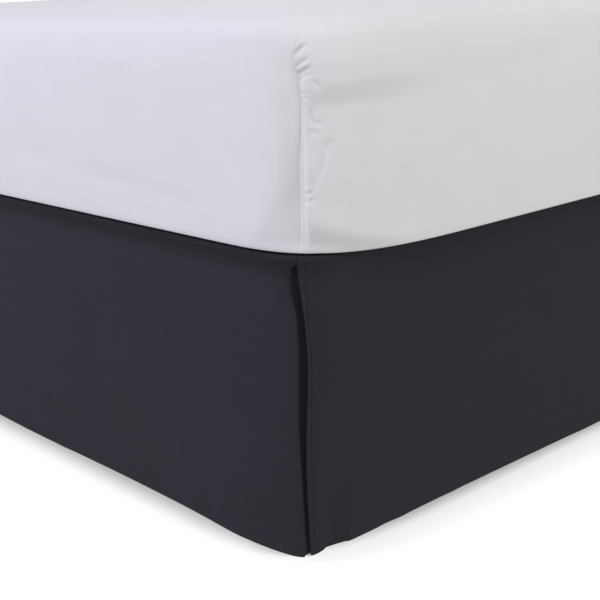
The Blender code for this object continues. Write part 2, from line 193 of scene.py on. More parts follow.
def wovenCloth(name, look):  # plain weave on the piece's own UV map, whose units are metres of cloth
    material, tree, shader = newMaterial(name)
    for socket in ("Roughness", "IOR", "Specular IOR Level", "Sheen Weight", "Sheen Roughness"):
        if socket in look:
            shader.inputs[socket].default_value = look[socket]
    uv = addNode(tree, "UVMap", {"uv_map": "threads"})
    waveScale = 0.31416 / (look["threadPitch"] / 1000)  # a wave texture repeats every 0.31416 / scale
    bands = []
    for direction in ("X", "Y"):
        bands.append(addNode(tree, "TexWave", {"bands_direction": direction, "Scale": waveScale,
                             "Distortion": look["threadWander"], "Detail": 1.0, "Detail Scale": 0.6},
                             {"Vector": (uv, "UV")}))
    weave = addNode(tree, "Math", {"operation": "MULTIPLY"}, {0: (bands[0], "Fac"), 1: (bands[1], "Fac")})
    # Yarn runs thicker and thinner along its length, which draws faint streaks both ways.
    streaks = []
    for stretch in ((1.0, 0.06, 1.0), (0.06, 1.0, 1.0)):
        mapping = addNode(tree, "Mapping", {"Scale": stretch}, {"Vector": (uv, "UV")})
        streaks.append(addNode(tree, "TexNoise", {"Scale": 1000 / look["slubSize"], "Detail": 2.0,
                               "Roughness": 0.55}, {"Vector": (mapping, "Vector")}))
    slub = addNode(tree, "Math", {"operation": "ADD"}, {0: (streaks[0], "Fac"), 1: (streaks[1], "Fac")})
    place = addNode(tree, "TexCoord")
    cloud = addNode(tree, "TexNoise", {"Scale": 1000 / look["cloudSize"], "Detail": 3.0, "Roughness": 0.5},
                    {"Vector": (place, "Object")})
    soFar = {}
    for share, source in (("slubTone", (slub, "Value")), ("cloudTone", (cloud, "Fac")),
                          ("weaveTone", (weave, "Value"))):
        tone = addNode(tree, "Math", {"operation": "MULTIPLY_ADD", 1: look[share], 2: 0.0},
                       {0: source, **soFar})
        soFar = {2: (tone, "Value")}
    colours = addNode(tree, "ValToRGB", None, {"Fac": (tone, "Value")})
    setStops(colours, look["colours"])
    # Painted shade: the top of the cloth is darkened where the mattress's edge shades it.
    if "pressed" in look:
        colours = pressedTop(tree, uv, colours, look["pressed"])
    tree.links.new(colours.outputs[0], shader.inputs["Base Color"])
    weaveBump = addNode(tree, "Bump", {"Strength": look["weaveBump"], "Distance": 0.0002},
                        {"Height": (weave, "Value")})
    slubBump = addNode(tree, "Bump", {"Strength": look["slubBump"], "Distance": 0.0004},
                       {"Height": (slub, "Value"), "Normal": (weaveBump, "Normal")})
    tree.links.new(slubBump.outputs["Normal"], shader.inputs["Normal"])
    return material


# Brushed microfibre: polyester in a tight plain weave, sanded to a short nap, so it is matt with a
# faint lift at grazing angles. Its 0.2 mm yarns are drawn 0.9 mm apart, or they wouldn't show.
microfibreLook = {"threadPitch": 0.9, "threadWander": 0.6, "slubSize": 9, "cloudSize": 70,
                  "slubTone": 0.35, "cloudTone": 0.25, "weaveTone": 0.10,
                  "weaveBump": 0.35, "slubBump": 0.10,
                  "colours": [(0.30, "#2c2b30"), (0.75, "#312f36")],
                  "Roughness": 0.95, "IOR": 1.46, "Specular IOR Level": 0.08, "Sheen Weight": 0.015,
                  "Sheen Roughness": 0.6}
# Cotton percale: a fine plain weave, washed, so it is matt and a little creased.
percaleLook = {"threadPitch": 0.8, "threadWander": 0.8, "slubSize": 7, "cloudSize": 55,
               "slubTone": 0.14, "cloudTone": 0.30, "weaveTone": 0.06, "weaveBump": 0.25, "slubBump": 0.05,
               "colours": [(0.15, "#d4d3d4"), (0.47, "#d9d8d9")],
               "Roughness": 0.88, "IOR": 1.47, "Specular IOR Level": 0.3, "Sheen Weight": 0.05,
               "Sheen Roughness": 0.5}
# Foundation cover: stretched polyester ticking over the frame, coarser and greyer than the sheet.
tickingLook = {"threadPitch": 1.4, "threadWander": 0.5, "slubSize": 12, "cloudSize": 90,
               "slubTone": 0.35, "cloudTone": 0.25, "weaveTone": 0.16, "weaveBump": 0.5, "slubBump": 0.15,
               "colours": [(0.30, "#bdb8ae"), (0.75, "#d2cdc3")],
               "Roughness": 0.9, "IOR": 1.47, "Specular IOR Level": 0.3}
# Dust cover: thin black spunbonded fleece stapled under the foundation.
fleeceLook = {"threadPitch": 2.0, "threadWander": 3.0, "slubSize": 4, "cloudSize": 40,
              "slubTone": 0.4, "cloudTone": 0.3, "weaveTone": 0.15, "weaveBump": 0.4, "slubBump": 0.3,
              "colours": [(0.30, "#1d1d1f"), (0.75, "#2a2a2c")],
              "Roughness": 0.95, "IOR": 1.45, "Specular IOR Level": 0.2}
# Painted shade under the mattress's edge, as a darker cloth colour: metres up the cloth between which the
# top darkens, by how much, and how many metres along the cloth it fades out over, which for the foot panel
# is far past its ends.
footPaintedShade, sidePaintedShade = (0.329, 0.348, 0.38, 50), (0.329, 0.348, 0.30, 0.11)
microfibre = wovenCloth("brushedMicrofibre", microfibreLook)
# The foot and side panels get copies of the cloth with painted shade along their tops.
microfibreFootPaintedShade = wovenCloth("brushedMicrofibreFootPaintedShade", {**microfibreLook, "pressed": footPaintedShade})
microfibreSidePaintedShade = wovenCloth("brushedMicrofibreSidePaintedShade", {**microfibreLook, "pressed": sidePaintedShade})
percale = wovenCloth("cottonPercale", percaleLook)
ticking = wovenCloth("polyesterTicking", tickingLook)
fleece = wovenCloth("spunbondFleece", fleeceLook)


def grainedPlain(name, look):  # moulded or sprayed things: a small grain on one colour
    material, tree, shader = newMaterial(name)
    shader.inputs["IOR"].default_value = look["ior"]
    place = addNode(tree, "TexCoord")
    grain = addNode(tree, "TexNoise", {"Scale": 1000 / look["grainSize"], "Detail": 3.0},
                    {"Vector": (place, "Object")})
    wear = addNode(tree, "TexNoise", {"Scale": 1000 / look["wearSize"], "Detail": 4.0},
                   {"Vector": (place, "Object")})
    colours = addNode(tree, "ValToRGB", None, {"Fac": (wear, "Fac")})
    setStops(colours, look["colours"])
    tree.links.new(colours.outputs["Color"], shader.inputs["Base Color"])
    rough = addNode(tree, "MapRange", {"To Min": look["roughness"][0], "To Max": look["roughness"][1]},
                    {"Value": (wear, "Fac")})
    tree.links.new(rough.outputs["Result"], shader.inputs["Roughness"])
    raised = addNode(tree, "Bump", {"Strength": look["bump"], "Distance": 0.0002},
                     {"Height": (grain, "Fac")})
    tree.links.new(raised.outputs["Normal"], shader.inputs["Normal"])
    return material


# Spun polyester sewing thread, a shade darker than the cloth.
thread = grainedPlain("polyesterThread", {
    "ior": 1.5, "grainSize": 0.3, "wearSize": 30, "bump": 0.3,
    "roughness": (0.85, 0.95), "colours": [(0.3, "#1e1e22"), (0.7, "#242428")]})
# Injection-moulded polypropylene with a fine spark-eroded grain, satin.
polypropylene = grainedPlain("mouldedPolypropylene", {
    "ior": 1.49, "grainSize": 0.8, "wearSize": 45, "bump": 0.25,
    "roughness": (0.38, 0.55), "colours": [(0.3, "#19191a"), (0.7, "#212122")]})
# Wool felt, pressed to a hard disc for the legs' glides: dull and lumpy.
felt = grainedPlain("pressedFelt", {
    "ior": 1.45, "grainSize": 1.2, "wearSize": 9, "bump": 0.9,
    "roughness": (0.92, 1.0), "colours": [(0.3, "#5d5a56"), (0.7, "#726e69")]})
print("materials made")

# The skirt's plan places are in millimetres from the corner where the two hems' planes would meet:
# across is towards the outside of the bed's side, and along runs from the foot to the head.
skirt = {
    "drop": 355.6, "thickness": 1.8, "edgeRound": 0.6,
    "halfWidth": 751, "middleX": -20, "hemFootY": -1024.5, "headY": 1016.5,
    "flare": 14,  # how far the foot panel's hem stands out past its top
    "topRadius": 60, "rollRadius": 5, "rollSteps": 6,  # the corner in plan, and the edge that it rolls over
    "seamDip": ((14, 0), (19, 0.1), (22, 0.4), (24, 0.9)),  # inward, sink: the deck's seam pulls it down
    "splitEdge": (  # height, along: the side panel's hemmed front edge
        (0, 22.6), (95, 24.3), (150, 27.4), (195, 30.8), (235, 33.0), (273, 32.8), (302, 31.4),
        (322, 30.2), (348, 29.3)),
    "edgeReach": 80,  # how far back from the split edge the columns follow its slant
    "curlDepth": 6.2, "curlLength": 9, "leanDepth": 1.6, "leanLength": 150,
    "rippleDepth": 7.4, "rippleAlong": 52, "rippleLengths": (20, 28),
    "cornerFold": (  # height, start, lead, fold across, fold along, turn, tail, pocket
        (0, -92, 40, -11.5, 15.2, 120, 8, 2.0),
        (60, -88, 38, -13.5, 17.0, 122, 9, 4.0),
        (110, -84, 36, -15.8, 17.8, 124, 11, 6.0),
        (165, -80, 34, -18.6, 18.6, 126, 13, 8.0),
        (245, -74, 30, -19.6, 22.8, 122, 14, 8.0),
        (295, -70, 26, -21.6, 24.4, 116, 13, 7.5),
        (320, -68, 24, -26.6, 22.4, 112, 12, 7.0),
        (340, -66, 21, -26.4, 23.8, 102, 12, 5.0),
        (346, -64, 18, -25.6, 25.0, 86, 13, 2.5),
        (348, -60, 14.5, -20.5, 28.9, 41.2, 14.5, 0.5)),
    "cornerSteps": 34, "tuckSteps": 14,
    "pocketLength": 22, "lapGapTop": 1.5, "lapGapHem": 2.2, "clearance": 0.2,
    "returnStations": (2, 4, 7, 11, 15, 20, 25, 31, 38, 45, 55, 66, 78, 90),  # back behind the side panel
    "splitAngle": 48.5, "splitGap": 0.2, "headWrap": 45,
    "footBillows": ((-112, 62, 3.6), (-360, 120, -1.6), (-610, 110, 1.8)),  # place, length, depth
    "sideBillows": ((300, 130, -1.2), (720, 170, 1.6), (1240, 190, -1.5), (1690, 140, 1.4)),
    "hemBand": (  # height, along: the stitch line, back from the split edge
        (0, 6.6), (40, 6.2), (100, 5.2), (200, 3.8), (275, 3.0), (300, 3.6), (312, 4.2), (336, 6.2),
        (348, 7.0)),
    "bandRise": 0.45, "bandStep": 1.6, "stitchSink": 0.8, "stitchWidth": 0.6,
    "hemRow": 4, "hemHeight": 20.5, "hemRise": 0.22, "hemStep": 3,
    "waveDepth": 0.7, "waveSize": 170, "foldTop": 345, "foldFade": 60,
}
# Soft folds: start (place, height), end (place, height), width, depth, share that fades in and out.
sideFolds = (
    (78, 0, 141, 165, 13, 2.2, 0, 0.75),
    (47, 0, 98, 150, 9, -1.2, 0, 0.6),
    (26, 60, 46, 215, 8, 0.8, 0.3, 0.5),
    (168, -10, 216, 125, 11, 0.9, 0, 0.7),
    (140, -10, 176, 120, 12, -0.8, 0, 0.6),
    (264, -10, 292, 80, 10, 0.7, 0, 0.7),
    (310, 75, 286, 185, 12, 0.7, 0.4, 0.5),
    (560, -10, 590, 190, 22, 0.9, 0, 0.8),
    (905, -10, 880, 160, 26, -1.1, 0, 0.8),
    (1420, -10, 1450, 210, 24, 1.1, 0, 0.8),
    (1795, -10, 1770, 170, 20, -1.0, 0, 0.8),
)
footFolds = (
    (-190, 156, -8, 130, 15, -0.9, 0.5, 0.25),
    (-60, 176, -16, 150, 10, 0.6, 0.5, 0.4),
    (-92, -10, -62, 110, 15, -0.8, 0, 0.8),
    (-330, 170, -290, 40, 18, -0.5, 0.5, 0.5),
    (-520, -10, -500, 180, 24, 0.7, 0, 0.8),
)
topRadius, flare = skirt["topRadius"], skirt["flare"]
sideLength = skirt["headY"] - skirt["hemFootY"]
footArc = flare + topRadius  # along, at the middle of the foot corner's round top edge
headArc = sideLength - topRadius
rollHeight = skirt["drop"] - skirt["rollRadius"]


def hang(height):  # 0 at the hem, 1 where the cloth rolls over the foundation's edge
    return min(1.0, max(0.0, height) / rollHeight)


def billow(place, billows):
    return sum(depth * bump(place, centre, length) for centre, length, depth in billows)


def roundCorner(along):  # how far the round corners in plan draw the side in
    reach = max(0.0, footArc - along, along - headArc)
    return topRadius - sqrt(max(0, topRadius ** 2 - reach ** 2))


def sideAcross(along, height):  # the outside of the side panel
    up = hang(height)
    curl = skirt["curlDepth"] * exp(-max(0.0, along - skirt["splitEdge"][0][1]) / skirt["curlLength"])
    length = skirt["rippleLengths"][0 if along < skirt["rippleAlong"] else 1]
    ripple = skirt["rippleDepth"] * bump(along, skirt["rippleAlong"], length) * (1 - up)
    lean = skirt["leanDepth"] * exp(-along / skirt["leanLength"])
    hem = -curl - ripple - lean + billow(along, skirt["sideBillows"])
    hem += skirt["waveDepth"] * drift(along, height, skirt["waveSize"], 3.1) * ease(along / 150)
    if along > headArc:
        hem -= roundCorner(along)
    folds = foldRelief(along, height, sideFolds) * ease((skirt["foldTop"] - height) / skirt["foldFade"])
    return hem * (1 - up) - roundCorner(along) * up + folds


def behindSide(along, height, depth):  # a point so far inward of the side panel's outside
    slope = (sideAcross(along + 1, height) - sideAcross(along - 1, height)) / 2
    size = hypot(1, slope)
    return Vector((sideAcross(along, height) - depth / size, along + depth * slope / size))


def bandRelief(back, height):  # the split edge's folded hem: a raised band with a sunk stitch line
    stitch = tableAt(skirt["hemBand"], height)
    step = skirt["bandStep"]
    rise = skirt["bandRise"] * (1 - ease((back - stitch + step / 2) / step))
    return rise - skirt["stitchSink"] * bump(back, stitch, skirt["stitchWidth"])


def sidePlaces(start):  # the columns along the bed, closest at the split edge's stitched band
    backs = [0, 0.6, 1.2, 1.8] + [2.3 + 0.35 * step for step in range(17)]
    backs += [8.9 + 1.6 * step for step in range(8)]
    places = [start + back for back in backs]
    for end, step in ((150, 3.5), (330, 7), (headArc - 30, 20)):
        fillTo(places, end, step)
    wrap, steps = radians(skirt["headWrap"]), 12
    return places + [headArc + topRadius * sin(wrap * step / steps) for step in range(steps + 1)]


panelHeights = [0, 2, 4, 7, 11, 16, 20.5, 21.5, 22.5, 23.5, 26]  # the turned hem ends between 20 and 24
fillTo(panelHeights, rollHeight - 16, 7)
panelHeights += [rollHeight - below for below in (8, 5, 3, 1.5, 0)]


def planHeight(height):  # the first rows share a plan, so that the hem meets the floor squarely
    return 0.0 if height <= skirt["hemRow"] else height


def hemRelief(height):  # the turned-up hem shows as a faint step on the outside
    return skirt["hemRise"] * (1 - ease((height - skirt["hemHeight"]) / skirt["hemStep"]))


def sideRow(height):
    plan = planHeight(height)
    startTop = skirt["splitEdge"][-1][1]
    shift = tableAt(skirt["splitEdge"], plan) - startTop
    row = []
    for place in sidePlaces(startTop):
        along = place + shift * ease(1 - (place - startTop) / skirt["edgeReach"])
        point = Vector((sideAcross(along, plan), along))
        raised = bandRelief(place - startTop, height) + hemRelief(height)
        row.append(point + (point - behindSide(along, plan, 1)) * raised)
    return row


def sideTopRow():
    places = sidePlaces(skirt["splitEdge"][-1][1])
    return [Vector((-roundCorner(along), along)) for along in places]


def sideOutward(point):
    centre = min(headArc, max(footArc, point.y))
    return Vector((point.x + topRadius, point.y - centre)).normalized()


def footAlong(across, height):  # the outside of the flat of the foot panel
    up = hang(height)
    waves = skirt["waveDepth"] * drift(across, height, skirt["waveSize"], 7.7) * ease(-across / 160)
    folds = foldRelief(across, height, footFolds) * ease((skirt["foldTop"] - height) / skirt["foldFade"])
    return flare * up - (billow(across, skirt["footBillows"]) + waves) * (1 - up) - folds


# Columns of the flat of the foot panel, from its middle to 130 mm from the corner.
footStations = [skirt["halfWidth"] - 18 * step for step in range(35)] + [130]
cornerSteps = skirt["cornerSteps"]


def footPlaces(end):  # from the middle of the foot panel to where its corner begins
    places = [-place for place in footStations]
    return places + [mix(places[-1], end, share) for share in (0.25, 0.5, 0.75)]


def footHalfRow(height):  # half a foot panel, from its middle to its hidden end
    plan = planHeight(height)
    start, lead, foldAcross, foldAlong, turn, tail, pocket = rowAt(skirt["cornerFold"], plan)
    row = [Vector((place, footAlong(place, plan))) for place in footPlaces(start)]
    begin = Vector((start, footAlong(start, plan)))
    before = Vector((start - 2, footAlong(start - 2, plan)))
    crease = Vector((foldAcross, foldAlong))
    facing = Vector((cos(radians(turn)), sin(radians(turn))))
    row += interpolate_bezier(begin, begin + (begin - before).normalized() * lead,
                              crease - facing * tail, crease, cornerSteps + 1)
    lap = mix(skirt["lapGapHem"], skirt["lapGapTop"], hang(height)) + skirt["thickness"]
    lap += skirt["clearance"]
    edge = tableAt(skirt["splitEdge"], plan)
    laid = [behindSide(edge + station, plan, lap + pocket * bump(station, 0, skirt["pocketLength"]))
            for station in skirt["returnStations"]]
    ahead = (laid[1] - laid[0]).normalized()
    reach = (laid[0] - crease).length / 3
    tuck = interpolate_bezier(crease, crease + facing * reach, laid[0] - ahead * reach, laid[0],
                              skirt["tuckSteps"] + 1)
    row += list(tuck[1:]) + laid[1:]
    raised = hemRelief(height)
    lifted = []
    for at, point in enumerate(row):
        run = (row[min(at + 1, len(row) - 1)] - row[max(at - 1, 0)]).normalized()
        lifted.append(point + Vector((run.y, -run.x)) * raised)
    return lifted


def footTopRow():
    row = [Vector((place, flare)) for place in footPlaces(-topRadius)]
    turned = pi / 2 - radians(skirt["splitAngle"]) - skirt["splitGap"] / 2 / topRadius
    for step in range(cornerSteps + 1):
        angle = turned * step / cornerSteps
        row.append(Vector((-topRadius + topRadius * sin(angle), footArc - topRadius * cos(angle))))
    return row


def footOutward(point):
    return Vector((max(0.0, point.x + topRadius), point.y - footArc)).normalized()


def toWorld(point, side, height):
    return Vector((skirt["middleX"] + side * (skirt["halfWidth"] + point.x),
                   skirt["hemFootY"] + point.y, height)) / 1000


def rollRows(top, outward):  # over the foundation's edge and in to the deck's seam
    rows = []
    for step in range(1, skirt["rollSteps"] + 1):
        angle = pi / 2 * step / skirt["rollSteps"]
        inward = skirt["rollRadius"] * (1 - cos(angle))
        rows.append(([point - outward(point) * inward for point in top],
                     rollHeight + skirt["rollRadius"] * sin(angle)))
    for inward, sink in skirt["seamDip"]:
        rows.append(([point - outward(point) * inward for point in top], skirt["drop"] - sink))
    return rows


def rowLengths(rows):  # how far up the cloth each row lies, with at least 1 mm between rows
    heights = [height for _, height in rows]
    run = [0.0]
    for below, above in zip(heights, heights[1:]):
        run.append(run[-1] + max(1.0, above - below))
    return run


def columnLengths(points):  # how far along the run each point lies
    run = [0.0]
    for before, after in zip(points, points[1:]):
        run.append(run[-1] + (after - before).length)
    return run


def thicken(piece):
    cloth = piece.modifiers.new("cloth", "SOLIDIFY")
    cloth.thickness = skirt["thickness"] / 1000
    cloth.offset = -1
    return cloth


def finishCloth(piece):
    thicken(piece).use_even_offset = True
    rounded = piece.modifiers.new("roundedEdges", "BEVEL")
    rounded.width = skirt["edgeRound"] / 1000
    rounded.segments = 2
    rounded.limit_method = "ANGLE"
    rounded.angle_limit = radians(60)


def sidePanel(name, side, node):
    rows = [(sideRow(height), height) for height in panelHeights]
    rows += rollRows(sideTopRow(), sideOutward)
    columns = len(rows[0][0])
    across, up = columnLengths(rows[0][0]), rowLengths(rows)

    def placeAt(column, row):
        points, height = rows[row]
        return toWorld(points[column if side > 0 else columns - 1 - column], side, height)

    def uvAt(column, row):
        return across[column if side > 0 else columns - 1 - column] * side / 1000, up[row] / 1000

    bm = makeGrid(columns, len(rows), placeAt, uvAt)
    piece = addPiece(name, bm, [microfibreSidePaintedShade], [node])
    finishCloth(piece)
    return piece


def footPanel(name, node):
    hanging = [(footHalfRow(height), height) for height in panelHeights]
    rows = hanging + rollRows(footTopRow(), footOutward)
    half, rolled = len(hanging[0][0]), len(rows[-1][0])
    across, up = columnLengths(hanging[0][0]), rowLengths(rows)

    def find(column):  # how many steps from the middle of the panel, and to which side
        return (column - (half - 1), 1) if column >= half - 1 else (half - 1 - column, -1)

    def placeAt(column, row):
        step, side = find(column)
        return toWorld(rows[row][0][step], side, rows[row][1])

    def uvAt(column, row):
        step, side = find(column)
        return across[step] * side / 1000, up[row] / 1000

    def missing(column, row):  # the hidden ends stop below the rolled edge
        return find(column)[0] >= rolled and row >= len(panelHeights)

    bm = makeGrid(2 * half - 1, len(rows), placeAt, uvAt, missing)
    piece = addPiece(name, bm, [microfibreFootPaintedShade], [node])
    finishCloth(piece)
    return piece


stitching = {"pitch": 3.0, "length": 2.2, "thickness": 0.3, "sink": 0.28, "lowest": 3}


def splitStitches(name):  # the topstitching of both split edges, one grain of thread for each stitch
    pitch, length, lowest = stitching["pitch"], stitching["length"], stitching["lowest"]
    thick = stitching["thickness"] / 1000
    grain = Matrix.Diagonal((thick, thick, length / 2000, 1))
    bm = bmesh.new()
    for side in (1, -1):
        for number in range(int((rollHeight - 2 * lowest) / pitch)):
            points = []
            for end in (0, length):
                height = lowest + pitch * number + end
                along = tableAt(skirt["splitEdge"], height) + tableAt(skirt["hemBand"], height)
                points.append(toWorld(behindSide(along, height, stitching["sink"]), side, height))
            middle, run = (points[0] + points[1]) / 2, points[1] - points[0]
            turn = run.to_track_quat("Z", "Y").to_matrix().to_4x4()
            bmesh.ops.create_icosphere(bm, subdivisions=1, radius=1.0,
                                       matrix=Matrix.Translation(middle) @ turn @ grain)
    return addPiece(name, bm, [thread])


sideRight = sidePanel("skirtSideRight", 1, "skirt_side_panel_right")
sideLeft = sidePanel("skirtSideLeft", -1, "skirt_side_panel_left")
foot = footPanel("skirtFoot", "skirt_foot_panel")
stitches = splitStitches("splitEdgeStitching")
print("skirt panels hung")


# The deck sheet, which carries the panels and lies flat under the mattress.
deckShape = {"corner": 35.7, "columns": 61, "rows": 81, "closerAtEdges": 0.06}


def deckSheet(name):
    low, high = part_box("skirt_deck")
    middle, half = (low + high) / 2, (high - low) / 2
    corner = deckShape["corner"] / 1000
    columns, rows = deckShape["columns"], deckShape["rows"]

    def squeezed(share, reach):
        return reach * (share + deckShape["closerAtEdges"] * sin(pi * share) / pi * 2)

    def placeAt(column, row):
        x = squeezed(2 * column / (columns - 1) - 1, half.x)
        y = squeezed(2 * row / (rows - 1) - 1, half.y)
        # Round corners: a point in the corner's square is drawn onto the circle there.
        dx, dy = max(0, abs(x) - half.x + corner), max(0, abs(y) - half.y + corner)
        if dx and dy:
            reach = max(dx, dy) / hypot(dx, dy)
            x = (half.x - corner + dx * reach) * (1 if x > 0 else -1)
            y = (half.y - corner + dy * reach) * (1 if y > 0 else -1)
        return Vector((middle.x + x, middle.y + y, high.z))

    def uvAt(column, row):
        spot = placeAt(column, row)
        return spot.x, spot.y

    bm = makeGrid(columns, rows, placeAt, uvAt)
    piece = addPiece(name, bm, [microfibre], ["skirt_deck"])
    thicken(piece)
    return piece


deck = deckSheet("skirtDeck")
print("deck sheet laid")

# The mattress in its fitted sheet. Heights are from its underside, along runs round its outline, and
# back is along the outline from a corner's seam: towards the side, or negative towards the end.
mattress = {
    "width": 1524, "length": 2032, "middleX": 10, "footY": -1006, "bottom": 355.9,
    "depth": 270, "crown": 12, "sideBow": 3,
    "cornerAcross": 202, "cornerAlong": 268, "cornerPower": 3.64,  # a rounded corner in plan
    "section": (  # height, inset
        (0, 13), (0.9, 9), (1.8, 4.0), (2.2, 1.6), (2.9, 0.6), (4, 0.3), (40, 0.3), (95, 0),
        (150, 0.3), (196, 1.2), (228, 3.6), (248, 9), (262, 24), (270, 54)),
    "lowRows": (0, 0.9, 1.8, 2.2, 2.9, 4, 10, 14, 18.5, 23, 28, 33, 38.5, 44, 49.5),
    "topShares": (  # rows over the top, as shares of the way in to its middle
        0.012, 0.028, 0.05, 0.08, 0.12, 0.17, 0.23, 0.30, 0.38, 0.47, 0.57, 0.68, 0.80, 0.92),
    "nearSeam": (  # back of the close columns beside a seam
        -64, -56, -49, -42, -36, -30, -25, -20.5, -16.5, -13, -10, -7.5, -5.4, -3.8, -2.6, -1.6, -0.8,
        -0.2, 0.4, 1.0, 1.8, 3, 4.6, 6.4, 8.2, 9.6, 10.8, 11.8, 12.8, 13.8, 15, 16.6, 18.4, 20.2, 22,
        24, 26, 28, 30.5, 33, 36, 39, 42.5, 47, 52, 58, 65),
    "besideStep": 8.5, "farStep": 24,  # between the columns further off
    "shoulder": (  # back, height, inset at the top: the top edge is rounder beside the seam
        (-10, 200, 0.0), (12, 194, 7.5), (90, 196, 6.5), (170, 205, 2.0), (330, 215, 0.0)),
    "seamShare": 0.3576,  # of the way from the middle of an end to the middle of a side
    "seamPath": (  # height, drift along the outline
        (0, 1.5), (24, 2.8), (41, 3.6), (58, 3.8), (75, 4.2), (95, 4.6), (113, 5.6), (130, 7.2), (151, 8.6),
        (173, 9), (182, 8.5), (191, 7.5), (199, 5.5), (207, 3.5), (221, 4), (230, 7), (239, 10), (250, 15),
        (262, 18), (270, 19)),
    "seamPull": 62,  # the columns this near a seam follow its drift
    "allowance": (  # height, width, rise: the seam allowance that shows through beside the seam
        (0, 10, 0.9), (24, 10.5, 0.9), (41, 12, 0.9), (58, 13, 0.8), (95, 13.5, 0.7), (113, 13, 0.55),
        (130, 12, 0.4), (160, 10, 0.3), (185, 10, 0.25), (205, 12, 0.1), (220, 12, 0.0)),
    "seamLine": (0.4, 0.9),  # depth, width
    "topstitch": (3.4, 0.5, 0.8, 46, 136, 14),  # place, depth, width, from, to, fade
    "valley": (  # height, width, depth: the hollow in front of the seam
        (0, 88, 5.0), (30, 56, 6.8), (60, 32, 7.6), (95, 23, 7.4), (150, 19, 7.0), (195, 17, 6.2),
        (218, 14, 3.0), (232, 12, 0.8), (250, 12, 0.0)),
    "roll": (  # back, height, depth, span: under its rolled top edge the side steps in a little
        (10, 188, 0.0, 24), (26, 189, 4.4, 27), (75, 195, 5.0, 29), (130, 198, 3.9, 30),
        (190, 206, 1.9, 32), (380, 223, 1.0, 34), (620, 240, 0.4, 34)),
    "rollRecovers": 130, "rollFade": 90,
    "tuck": (  # back, height, depth: the corner of the sheet bulges over its elastic
        (11, 42, 0.0), (15, 42, 8.2), (30, 38, 9.0), (60, 27, 7.0), (100, 18, 3.6), (150, 12, 0.0)),
    "tuckRecovers": 90,
    "corners": (  # each seam's pucker shift and strength, then its creases' stretch, shift and strength
        (0, 1, 1, 0, 1), (23, 0.8, -0.8, 8, 0.8), (-17, 1.05, 1.1, -10, 0.8), (9, 0.9, -1.25, 5, 0.8)),
    "creaseMeet": 180,  # how near the meeting of two corners' folds the cloth is flat
    "sideWaves": ((0.55, 34, 0.5, 12), (1.3, 150, 5.5, 30)),  # depth, size, seed, height to full depth
    "topWaves": ((1.6, 190, 2.2), (0.7, 60, 8.4)),  # depth, size, seed
    "topBegins": 225,  # the height at which the side's relief gives way to the top's waves
}
# Puckers beside a seam: from (back, height) to (back, height), width, depth, fade in, fade out.
puckers = (
    (2, 220, 22, 233, 2.4, -3.0, 0.3, 0.5), (3, 207, 25, 219, 2.1, -2.6, 0.2, 0.5),
    (7, 204, 22, 212, 2.2, 1.12, 0.3, 0.5), (4, 198.5, 26, 209, 2.3, -3.2, 0.2, 0.5),
    (6, 193.5, 25, 202, 2.0, -2.6, 0.2, 0.5), (21, 194, 36, 182, 3.4, -1.62, 0.4, 0.5),
    (8, 178, 20, 180.5, 1.6, -1.5, 0.3, 0.5), (10, 173, 20, 174.5, 1.6, -1.5, 0.3, 0.5),
    (9, 165.5, 18, 167, 1.5, -1, 0.3, 0.5), (20.5, 166, 20.5, 148, 2.8, -1.62, 0.4, 0.2),
    (18, 148.5, 38, 145, 2.8, -1.62, 0.3, 0.5), (15, 137.5, 34, 136, 3, -1.25, 0.3, 0.5),
    (43, 132, 34, 114, 4.2, -1.62, 0.4, 0.1), (34.5, 115, 30, 98, 4, -1.75, 0.1, 0.1),
    (30, 99, 18, 73, 3.4, -1.75, 0.1, 0.3), (34, 95.5, 27, 101, 2.4, -1.25, 0.3, 0.4),
    (9, 68.5, 25, 76, 1.7, -2, 0.25, 0.5), (9, 72.5, 22, 78.5, 1.6, 0.88, 0.3, 0.5),
    (7, 60, 28, 66, 2.1, -1.5, 0.3, 0.5),
)
# Long soft creases of the seen corner, in the same terms. Back is negative on the foot end.
longCreases = (
    (-640, 76, -440, 68, 14, -1.3, 0.3, 0.3), (-480, 66, -240, 52, 13, -1.3, 0.3, 0.3),
    (-300, 52, -130, 42, 12, -1.1, 0.4, 0.5), (60, 130, 100, 60, 18, -0.7, 0.4, 0.5),
    (-330, 30, -190, 14, 9, -0.8, 0.4, 0.4),
)


def mattressOutline():  # points a short step apart round the mattress, and how far round each is
    halfX, halfY = mattress["width"] / 2, mattress["length"] / 2
    cornerAcross, cornerAlong = mattress["cornerAcross"], mattress["cornerAlong"]
    steps, endShare, cornerShare = 900, 0.20, 0.50
    power = 2 / mattress["cornerPower"]
    quarter = []
    for step in range(steps + 1):
        part = step / steps
        if part < endShare:
            point = Vector(((halfX - cornerAcross) * part / endShare, halfY))
        elif part < endShare + cornerShare:
            angle = pi / 2 * (part - endShare) / cornerShare
            point = Vector((halfX - cornerAcross * (1 - sin(angle) ** power),
                            halfY - cornerAlong * (1 - max(0.0, cos(angle)) ** power)))
        else:
            rest = (1 - part) / (1 - endShare - cornerShare)
            point = Vector((halfX, (halfY - cornerAlong) * rest))
        quarter.append(point)
    loop = []
    for signX, signY, backwards in ((1, -1, False), (1, 1, True), (-1, 1, False), (-1, -1, True)):
        points = [Vector((point.x * signX, point.y * signY)) for point in quarter]
        if backwards:
            points.reverse()
        loop += points if not loop else points[1:]
    run = columnLengths(loop)
    seam = round(steps * mattress["seamShare"])
    seams = [(run[seam], 1), (run[2 * steps - seam], -1), (run[2 * steps + seam], 1),
             (run[4 * steps - seam], -1)]
    return loop, run, seams


outline, outlineRun, seamRuns = mattressOutline()
seamBorders = [(here[0] + there[0]) / 2 for here, there in zip(seamRuns, seamRuns[1:])]
seamBorders = [0.0] + seamBorders + [outlineRun[-1]]


